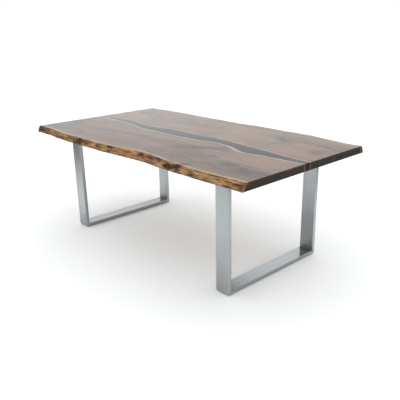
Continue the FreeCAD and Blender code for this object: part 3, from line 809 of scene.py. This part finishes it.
def make_natural_edge(name):
    """Outside of the tree: mottled fibres, cracks, stain and bark where the mesh keeps some."""
    material, tree, shader = new_material(name)
    place = own_place(tree)
    mottle = pattern(place, (10.0, 20.0, 28.0), 4.0, 0.6)
    fibres = pattern(place, (11.0, 70.0, 130.0), 5.0, 0.6, 0.3)
    wander = pattern(place, (8.0, 44.0, 70.0), 3.0, 0.55)
    chips = pattern(place, (30.0, 140.0, 190.0), 2.0)
    ragged = pattern(place, (20.0, 70.0, 120.0), 6.0, 0.8)
    golden = mix(strongest(place, RIND_WARM), RIND_GOLD, RIND_ORANGE)
    colour = mix(fade(mottle, 0.38, 0.6, 0.2, 1.0), RIND_BROWN, golden)
    colour = laid(colour, RIND_PALE, fibres, 0.52, 0.68, 0.7)
    colour = laid(colour, RIND_DEEP, fibres, 0.47, 0.32, 0.7)
    crack = fade(calc("ABSOLUTE", minus(wander, 0.5)), 0.035, 0.008)
    colour = mix(times(crack, 0.7), colour, RIND_LINE)
    colour = laid(colour, RIND_LINE, chips, 0.62, 0.7, 0.6)
    # the edge is painted darker towards the underside, by depth alone
    colour = laid(colour, RIND_LINE, stored(tree, "down"), 0.7, 1.0, 0.35)
    reach = plus(stored(tree, "bark"), times(minus(ragged, 0.5), BARK_RAGGED))
    colour = laid(colour, RIND_RED, reach, 0.12, 0.36, 0.6)
    patch = fade(reach, 0.3, 0.7)
    bark_colour = laid(BARK, BARK_RUST, chips, 0.5, 0.7)
    colour = mix(times(patch, 0.94), colour, bark_colour)
    height = minus(times(ragged, plus(patch, 0.3)), times(crack, 0.3))
    height = plus(height, times(fibres, 0.35))
    feed(shader, base_color=colour, roughness=fade(patch, 0, 1, 0.5, 0.8),
         specular_ior_level=DULL_SHINE, normal=raised(height, EDGE_RELIEF))
    print(name, len(tree.nodes), "nodes")
    return material


walnut_edge = make_natural_edge("walnut_edge")

# %% Sawn ends of the walnut, and the finishes of both boards
END_DARK = tint(34, 29, 26)
END_RING = tint(58, 49, 43)
END_SAP = tint(164, 102, 62)
END_RUST = tint(98, 78, 69)
END_LINE = tint(112, 72, 50)
HEART_CENTRE, RING_SQUEEZE = (0.0, 0.0, 1.0), (0.0, 1.0, 1.6)
RING_RATE, RING_WOBBLE = 900.0, 12.0
END_RELIEF = 0.0002


def make_end_grain(name):
    """Sawn end of a board: dark arcs of growth rings, a lighter line at the top and strips of sapwood.
    """
    material, tree, shader = new_material(name)
    place = own_place(tree)
    radius = length(vector("SUBTRACT", stretched(place, RING_SQUEEZE), HEART_CENTRE))
    ring = calc("SINE", weighed(radius, RING_RATE, cloud(place, 14.0), RING_WOBBLE))
    fleck = pattern(place, (1.0, 260.0, 260.0), 2.0)
    streaks = pattern(place, (1.0, 24.0, 70.0), 3.0, 0.6, 0.6)
    tone = plus(fade(ring, -0.6, 1.0, 0.0, 0.4), fade(streaks, 0.36, 0.64, 0.0, 0.6))
    colour = mix(tone, END_DARK, END_RING)
    colour = laid(colour, BARK, fleck, 0.6, 0.72, 0.5)
    # a lighter rust-brown line along the top edge of the sawn end
    worn = times(fade(stored(tree, "down"), 0.17, 0.02),
                 fade(cloud(place, 40.0), 0.35, 0.6, 0.1, 0.65))
    colour = mix(worn, colour, END_LINE)
    across = split(place)["Y"]
    band = stored(tree, "sapwood")
    sap = times(fade(band, *SAP_FADE), fade(across, -0.5, 0.1, 0.95, 0.4))
    colour = mix(sap, colour, laid(END_SAP, RIND_DEEP, ring, -1.0, 1.0))
    corner = times(fade(band, -0.026, -0.006), fade(across, 0.2, 0.4, 0.0, 0.7))
    colour = mix(corner, colour, END_RUST)
    height = plus(fleck, times(ring, 0.2))
    feed(shader, base_color=colour, roughness=fade(fleck, 0.3, 0.7, 0.45, 0.6),
         specular_ior_level=DULL_SHINE, normal=raised(height, END_RELIEF))
    print(name, len(tree.nodes), "nodes")
    return material


walnut_end = make_end_grain("walnut_end")
for board, flat_walnut in ((front_board, front_walnut), (back_board, back_walnut)):
    for material in (flat_walnut, walnut_end, walnut_edge):
        board.data.materials.append(material)

# %% [markdown]
# ## Smoky resin
# The river is bluish grey resin, cast flush and polished. Clear resin over a dark ground could be made
# with a see-through shader, but so much smoke is stirred into this one that no ground shows, so an
# opaque glossy surface is honest and quicker. Slow swirls of the colouring, a slightly lighter rim by
# the shores and faint polishing marks keep it from looking like paint. At the sawn ends the resin is
# dark grey, because no light from above is seen through it there.

# %% Resin
RESIN_DEEP = tint(20, 36, 46)
RESIN_SMOKE = tint(46, 66, 78)
RESIN_RIM = tint(60, 76, 84)
RESIN_END = tint(30, 31, 30)
RESIN_END_SMOKE = tint(44, 45, 43)
RIM_WIDTH, RIM_SHARE = 0.022, 0.7
SAG_RELIEF, SAG_STRENGTH = 0.0004, 0.5


def make_resin(name, deep, smoke_colour, rim_colour, shine):
    """Resin of the river, or of its sawn end."""
    material, tree, shader = new_material(name)
    place = own_place(tree)
    swirl = cloud(stretched(place, (1.0, 2.6, 1.0)), 4.2, 4.0, 0.55, 1.6)
    wisp = cloud(stretched(place, (1.0, 4.0, 1.0)), 11.0, 5.0, 0.6, 2.4)
    smoke = weighed(swirl, 0.7, wisp, 0.3)
    colour = laid(deep, smoke_colour, smoke, 0.36, 0.66)
    colour = laid(colour, rim_colour, stored(tree, "from_shore"), RIM_WIDTH, 0.0, RIM_SHARE)
    scuffs = place_group(fine_scuffs, {"Place": place, "Size": 1.4})
    rough = plus(fade(scuffs["Scuffs"], 0, 1, 0.1, 0.17), times(scuffs["Scratches"], 0.08))
    sag = cloud(place, 5.0, 2.0)
    feed(shader, base_color=colour, roughness=rough, specular_ior_level=shine,
         normal=raised(sag, SAG_RELIEF, SAG_STRENGTH))
    print(name, len(tree.nodes), "nodes")
    return material


river.data.materials.append(make_resin("river_resin", RESIN_DEEP, RESIN_SMOKE, RESIN_RIM, 0.5))
river.data.materials.append(make_resin("river_end", RESIN_END, RESIN_END_SMOKE, RESIN_END, 0.2))

# %% [markdown]
# ## Steel of the legs
# The frames are satin stainless tube, brushed along each bar, so the fine lines stand upright on the
# posts and lie level on the foot bars and top plates. A single grey would do from far off, but the
# lines change the roughness and the relief, and faint wiped patches keep large faces from looking
# painted. The narrow sides of the bars that face along the table are painted a darker grey. The inner
# corners over the foot bars get painted shade, a grey that darkens them: more in the back corners, and
# soft along the front end of the right foot bar.

# %% Painted shade in the corners of the legs
# painted shade: how far the grey reaches from the inner corners, and how strong it is
CORNER_SHADE_REACH, CORNER_SHADE_FRONT, CORNER_SHADE_BACK = 0.04, 0.15, 0.4
BAR_END_SHADE_REACH, BAR_END_SHADE = 0.34, 0.29
CORNER_SHADE_CORE = 0.002
RIM_SOFT, RIM_SHARP = 0.012, 0.001
MIDDLE_FADE = 0.1
POST_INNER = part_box("right_back_post")[0][1]
BAR_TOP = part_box("right_foot_bar")[1][2]


def make_painted_corner_shade():
    """Painted shade: grey in the inner corners over the foot bars, and along the front end of the right
    foot bar.
    """
    tree, given, wanted = new_group(
        "heat_tint", {"Place": "Vector", "Post Face": "Float", "Bar Top": "Float"}, {"Heat": "Float"})
    apart = split(given["Place"])
    out = minus(calc("ABSOLUTE", apart["Y"]), given["Post Face"])
    up = minus(apart["Z"], given["Bar Top"])
    distance = calc("SQRT", weighed(out, out, up, up))
    inside = times(fade(out, RIM_SOFT, RIM_SHARP), fade(up, -RIM_SOFT, -RIM_SHARP))
    # painted shade close to each inner corner, stronger at the back than at the front
    heat = times(fade(distance, CORNER_SHADE_REACH, CORNER_SHADE_CORE),
                 fade(apart["Y"], -MIDDLE_FADE, MIDDLE_FADE, CORNER_SHADE_FRONT, CORNER_SHADE_BACK))
    front_right = times(fade(apart["X"], -MIDDLE_FADE, MIDDLE_FADE),
                        fade(apart["Y"], MIDDLE_FADE, -MIDDLE_FADE))
    # painted shade along the front end of the right foot bar
    smoke = times(fade(distance, BAR_END_SHADE_REACH, CORNER_SHADE_CORE, 0.0, BAR_END_SHADE), front_right)
    fill(wanted, {"Heat": times(calc("MAXIMUM", heat, smoke), inside)})
    return tree


heat_tint = make_painted_corner_shade()
print("corners of the legs at", round(POST_INNER, 4), "from the middle and", round(BAR_TOP, 4), "up")

# %% Brushed steel
STEEL = tint(194, 198, 200)
STEEL_DARK = tint(180, 184, 186)
STEEL_SIDE_DARKER = tint(150, 154, 156)
CORNER_SHADE_GREY = tint(78, 78, 77)
BAND_DULLNESS, SCUFF_DULLNESS = 0.03, 0.03
BRUSH_RELIEF = 0.00001
ALONG_BRUSH, ACROSS_BRUSH = 7.0, 700.0


def make_brushed_steel(name, stretch, dullness, side_darkening):
    """Brushed stainless steel with its lines along the axis whose stretch is small. The narrow sides
    that face along the table are painted a darker grey, and the inner corners get painted shade."""
    material, tree, shader = new_material(name)
    place = own_place(tree)
    brushed = place_group(brush_lines, {"Place": place, "Stretch": stretch})
    scuffs = place_group(fine_scuffs, {"Place": place, "Size": 0.8})
    tone = weighed(brushed["Lines"], 0.8, scuffs["Scuffs"], 0.2)
    colour = laid(STEEL_DARK, STEEL, tone, 0.3, 0.7)
    # the narrow sides that face along the table are painted a darker grey
    facing = add("ShaderNodeTexCoord", {}, tree).outputs["Normal"]
    along = calc("ABSOLUTE", split(facing)["X"])
    colour = laid(colour, STEEL_SIDE_DARKER, along, 0.6, 0.95, side_darkening)
    # painted shade: grey laid in the inner corners over the foot bars
    heat = place_group(heat_tint, {"Place": place, "Post Face": POST_INNER, "Bar Top": BAR_TOP})
    colour = mix(heat["Heat"], colour, CORNER_SHADE_GREY)
    bands = fade(brushed["Bands"], 0, 1, dullness - BAND_DULLNESS, dullness + BAND_DULLNESS)
    rough = plus(bands, times(scuffs["Scuffs"], SCUFF_DULLNESS))
    feed(shader, base_color=colour, metallic=1.0, roughness=rough,
         normal=raised(brushed["Lines"], BRUSH_RELIEF))
    return material


def finish_node(name, material):
    """Give a measured piece its finish."""
    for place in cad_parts[name].material_slots:
        place.material = material


upright_steel = make_brushed_steel("upright_steel", (ACROSS_BRUSH, ACROSS_BRUSH, ALONG_BRUSH), 0.3, 0.1)
level_steel = make_brushed_steel("level_steel", (ACROSS_BRUSH, ALONG_BRUSH, ACROSS_BRUSH), 0.16, 0.3)
for side in ("left", "right"):
    for piece in ("front_post", "back_post"):
        finish_node(f"{side}_{piece}", upright_steel)
    for piece in ("foot_bar", "top_plate"):
        finish_node(f"{side}_{piece}", level_steel)
print("steel on 8 pieces")

# %% [markdown]
# ## Weld seams
# Each post is welded to the foot bar and to the top plate. The outer corners are ground flush, but the
# seams in the inner corners stay, because no grinder reaches them. A plain round rod would look like a
# wire, so each seam is a bead that swells and shrinks in small ripples and tapers off at both ends.
# The front seams stop short of the edges of the posts. The heat leaves a pale straw tint with a little
# blue.

# %% Shape of a weld bead
BEAD_RADIUS = 0.003
BEAD_TIP, BEAD_BODY, BEAD_SWELL = 0.05, 0.8, 0.15
BEAD_SIDES = 8
RIPPLE_LENGTH = 0.004
RINGS_PER_RIPPLE = 4
TAPER_POWER = 12


def weld_bead(name, start, end, y, z):
    """Rippled bead along the table from start to end, tapered at both ends."""
    rings = int((end - start) / RIPPLE_LENGTH * RINGS_PER_RIPPLE)
    points, faces = [], []
    for i in range(rings + 1):
        share = i / rings
        taper = math.sqrt(1 - abs(2 * share - 1) ** TAPER_POWER)
        ripple = abs(math.sin(math.pi * i / RINGS_PER_RIPPLE))
        radius = BEAD_RADIUS * (BEAD_TIP + taper * (BEAD_BODY + BEAD_SWELL * ripple))
        x = start + (end - start) * share
        for k in range(BEAD_SIDES):
            turn = 2 * math.pi * k / BEAD_SIDES
            points.append((x, y + radius * math.cos(turn), z + radius * math.sin(turn)))
    for i in range(rings):
        for k in range(BEAD_SIDES):
            a, b = i * BEAD_SIDES + k, i * BEAD_SIDES + (k + 1) % BEAD_SIDES
            faces.append((a, b, b + BEAD_SIDES, a + BEAD_SIDES))
    faces.append(tuple(reversed(range(BEAD_SIDES))))
    faces.append(tuple(rings * BEAD_SIDES + k for k in range(BEAD_SIDES)))
    mesh = bpy.data.meshes.new(name)
    mesh.from_pydata(points, [], [face[::-1] for face in faces])
    mesh.polygons.foreach_set("use_smooth", np.ones(len(faces), bool))
    bead = new_object(name, mesh)
    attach(bead, "table")
    return bead


print("a bead has ripples of", RIPPLE_LENGTH, "m")

# %% Weld beads in the inner corners
STRAW = tint(160, 148, 128)
WELD_BLUE = tint(118, 122, 130)
BEAD_MARGINS = {"front": 0.02, "back": 0.004}


def make_weld(name):
    """Steel coloured by the heat of welding."""
    material, tree, shader = new_material(name)
    heat = pattern(own_place(tree), (60.0, 200.0, 200.0))
    colour = laid(STRAW, STEEL_DARK, heat, 0.4, 0.6)
    colour = laid(colour, WELD_BLUE, heat, 0.42, 0.34)
    feed(shader, base_color=colour, metallic=1.0, roughness=fade(heat, 0.3, 0.7, 0.3, 0.45))
    return material


weld_steel = make_weld("weld_steel")
for side in ("left", "right"):
    plate_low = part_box(f"{side}_top_plate")[0][2]
    for end, inner in (("front", 1), ("back", 0)):
        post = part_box(f"{side}_{end}_post")
        margin = BEAD_MARGINS[end]
        span = (post[0][0] + margin, post[1][0] - margin)
        for place, z in (("foot", BAR_TOP), ("top", plate_low)):
            bead = weld_bead(f"{side}_{end}_{place}_weld", *span, post[inner][1], z)
            bead.data.materials.append(weld_steel)
        print("two weld beads", round(span[1] - span[0], 4), "m long at the", side, end, "post")

# %% [markdown]
# ## Small metal and nylon
# Under the top sit painted channels, zinc-plated bolts and washers, and brass inserts. The feet are
# nylon discs on zinc-plated studs. Few people look there, but each still gets its own finish: specks
# and a soft peel in the paint, crystals in the zinc, tarnish on the brass, and a thread on the studs,
# which is drawn as relief because real thread turns are too fine to be worth modelling here.

# %% Finishes of the small pieces
THREAD_PITCH = 0.00125
THREAD_RELIEF, SCRATCH_RELIEF, PEEL_RELIEF = 0.0006, 0.00004, 0.00012
CRYSTAL_RATE = 420.0
PLATED_SPREAD, COATED_SPREAD = 0.18, 0.15


def make_plated(name, bright, dull, roughness, threaded=False):
    """Plated metal with small crystals, and thread turns where it is threaded."""
    material, tree, shader = new_material(name)
    place = own_place(tree)
    crystals = add("ShaderNodeTexVoronoi", {"Vector": place, "Scale": CRYSTAL_RATE})
    scuffs = place_group(fine_scuffs, {"Place": place, "Size": 12.0})
    tone = weighed(crystals.outputs["Color"], 0.35, scuffs["Scuffs"], 0.65)
    height, relief = scuffs["Scratches"], SCRATCH_RELIEF
    if threaded:
        turn = calc("PINGPONG", split(place)["Z"], THREAD_PITCH / 2)
        height, relief = times(turn, 2 / THREAD_PITCH), THREAD_RELIEF
    feed(shader, base_color=mix(tone, bright, dull), metallic=1.0,
         roughness=fade(tone, 0, 1, roughness, roughness + PLATED_SPREAD),
         normal=raised(height, relief))
    return material


def make_coated(name, colour, worn, roughness, grain_rate):
    """Paint or moulded nylon: a fine peel in the surface and paler rubbed places."""
    material, tree, shader = new_material(name)
    place = own_place(tree)
    scuffs = place_group(fine_scuffs, {"Place": place, "Size": 5.0})
    peel = cloud(place, grain_rate, 2.0)
    rubbed = times(scuffs["Scuffs"], fade(peel, 0.35, 0.65, 0.4, 1.0))
    feed(shader, base_color=mix(rubbed, colour, worn),
         roughness=fade(scuffs["Scuffs"], 0, 1, roughness, roughness + COATED_SPREAD),
         normal=raised(peel, PEEL_RELIEF))
    return material


print("thread turns", THREAD_PITCH, "m apart")

# %% Zinc, brass, paint and nylon
ZINC, ZINC_DULL = tint(186, 190, 196), tint(150, 153, 158)
BRASS, BRASS_DULL = tint(196, 160, 92), tint(140, 108, 58)
PAINT, PAINT_WORN = tint(38, 38, 39), tint(66, 65, 63)
NYLON, NYLON_WORN = tint(34, 34, 35), tint(62, 60, 57)
zinc = make_plated("zinc_plate", ZINC, ZINC_DULL, 0.24)
zinc_thread = make_plated("zinc_thread", ZINC, ZINC_DULL, 0.24, threaded=True)
brass = make_plated("insert_brass", BRASS, BRASS_DULL, 0.28)
channel_paint = make_coated("channel_paint", PAINT, PAINT_WORN, 0.42, 700.0)
foot_nylon = make_coated("foot_nylon", NYLON, NYLON_WORN, 0.5, 1200.0)

for side in ("left", "right"):
    finish_node(f"{side}_channel", channel_paint)
    finish_node(f"{side}_foot_nuts", zinc)
    for place in ("leg", "channel"):
        finish_node(f"{side}_{place}_bolts", zinc)
        finish_node(f"{side}_{place}_washers", zinc)
        finish_node(f"{side}_{place}_inserts", brass)
    for end in ("front", "back"):
        finish_node(f"{end}_{side}_glide", foot_nylon)
        finish_node(f"{end}_{side}_stud", zinc_thread)
print("small pieces finished")

# %% [markdown]
# ## Floor and light
# The table stands on a plain white floor in an even white room. Lamps could light it, but even light
# from all round gives the soft shadow under the table, and at a strength of 1 it shows a colour about
# as it is written. A real room is not evenly white, so what glossy surfaces mirror changes from place
# to place. The floor is a pool of light that fades away from the table and is darker under it. The
# room is white near the floor, has a grey band of wall above that, is white again higher up, where the
# foot bars mirror it, and is a little greyer overhead and darker on the camera's side. The camera sees
# the floor a little lighter than it lights the table, which keeps the background white and leaves the
# shadow in place.

# %% Floor
FLOOR_REACH = 40.0
FLOOR_LIGHT, FLOOR_MIRRORED, FLOOR_SEEN = 0.93, 1.06, 1.2
FLOOR_TINT = (0.98, 1.0, 1.006)
POOL_START, POOL_END, POOL_LOSS, POOL_LIFT = 1.75, 3.6, 0.75, 1.03
SHADE_LOSS, SHADE_MIDDLE = 0.28, -0.08
SHADE_ALONG, SHADE_ACROSS = (0.98, 0.78), (0.8, 0.36)


def make_floor_paint(name):
    """Matt white paint that lights the table, is mirrored by it and is seen at three strengths."""
    material, tree, shader = new_material(name)
    tree.nodes.remove(shader)
    path = add("ShaderNodeLightPath", {}, tree).outputs
    place = own_place(tree)
    apart = split(place)
    along = calc("ABSOLUTE", minus(apart["X"], SHADE_MIDDLE))
    across = calc("ABSOLUTE", apart["Y"])
    under = times(fade(along, *SHADE_ALONG), fade(across, *SHADE_ACROSS, 0.0, SHADE_LOSS))
    pool = fade(length(place), POOL_START, POOL_END, FLOOR_MIRRORED, FLOOR_MIRRORED * (1 - POOL_LOSS))
    pool = times(pool, minus(POOL_LIFT, under))
    mirrored = fade(path["Is Glossy Ray"], 0, 1, FLOOR_LIGHT, pool)
    seen = fade(path["Is Camera Ray"], 0, 1, 0.0, FLOOR_SEEN - FLOOR_LIGHT)
    cool = scaled(FLOOR_TINT, plus(mirrored, seen))
    matt = add("ShaderNodeBsdfDiffuse", {"Color": cool})
    fill(tree.nodes["Material Output"].inputs, {"Surface": matt.outputs[0]})
    return material


floor_mesh = bpy.data.meshes.new("floor")
corners = [(-FLOOR_REACH, -FLOOR_REACH, 0), (FLOOR_REACH, -FLOOR_REACH, 0),
           (FLOOR_REACH, FLOOR_REACH, 0), (-FLOOR_REACH, FLOOR_REACH, 0)]
floor_mesh.from_pydata(corners, [], [(0, 1, 2, 3)])
floor = new_object("floor", floor_mesh)
floor_mesh.materials.append(make_floor_paint("floor_paint"))
print("floor", 2 * FLOOR_REACH, "m wide")

# %% Room
WALL_FOOT, WALL_HEAD, WALL_LIGHT = (0.15, 0.26), (0.295, 0.35), 0.65
OVERHEAD, OVERHEAD_LOSS = (0.435, 0.48), 0.24
CAMERA_SIDE, CAMERA_SIDE_FOOT, CAMERA_SIDE_LOSS = (-0.05, -0.4), (0.02, 0.12), 0.6


def make_room(name):
    """World of even white light. Only what glossy surfaces mirror of it is greyer in places."""
    world = bpy.data.worlds.new(name)
    world.use_nodes = True
    tree = world.node_tree
    direction = split(add("ShaderNodeTexCoord", {}, tree).outputs["Generated"])
    height = direction["Z"]
    wall = times(fade(height, *WALL_FOOT, 0.0, 1 - WALL_LIGHT), fade(height, *WALL_HEAD, 1.0, 0.0))
    greyer = plus(wall, fade(height, *OVERHEAD, 0.0, OVERHEAD_LOSS))
    behind = times(fade(direction["Y"], *CAMERA_SIDE),
                   fade(height, *CAMERA_SIDE_FOOT, 0.0, CAMERA_SIDE_LOSS))
    mirrored = add("ShaderNodeLightPath", {}, tree).outputs["Is Glossy Ray"]
    loss = times(mirrored, calc("MAXIMUM", greyer, behind))
    fill(tree.nodes["Background"].inputs, {"Strength": minus(1.0, loss), "Color": (1, 1, 1, 1)})
    return world


bpy.context.scene.world = make_room("white_room")
bpy.context.scene.view_settings.view_transform = "Standard"
print("wall", round(1 - WALL_LIGHT, 2), "and overhead", OVERHEAD_LOSS, "greyer than white")

# %% [markdown]
# ## Camera
# The camera stands off the right front corner, a little above head height for someone seated, and
# looks down along the table. It could be placed by eye. Its place, direction and lens were instead
# worked out from the straight lines of the table: the legs, the ends of the top and the foot bars.

# %% Camera
CAMERA_PLACE = Vector((2.6346, -2.3147, 1.5010))
HEADING, TILT, ROLL = (math.radians(angle) for angle in (137.215, -19.081, -1.061))
SENSOR_WIDTH, LENS, FARTHEST = 36.0, 46.952, 200.0
ahead = Vector((math.cos(TILT) * math.cos(HEADING), math.cos(TILT) * math.sin(HEADING), math.sin(TILT)))
across = ahead.cross(Vector((0, 0, 1))).normalized()
above = across.cross(ahead)
right = across * math.cos(ROLL) + above * math.sin(ROLL)
upward = above * math.cos(ROLL) - across * math.sin(ROLL)
turn = Matrix((right, upward, -ahead)).transposed()
camera = new_object("camera", bpy.data.cameras.new("camera"))
camera.matrix_world = Matrix.Translation(CAMERA_PLACE) @ turn.to_4x4()
camera.data.sensor_width = SENSOR_WIDTH
camera.data.lens = LENS
camera.data.clip_end = FARTHEST
bpy.context.scene.camera = camera
print("camera looks along", [round(value, 3) for value in ahead])
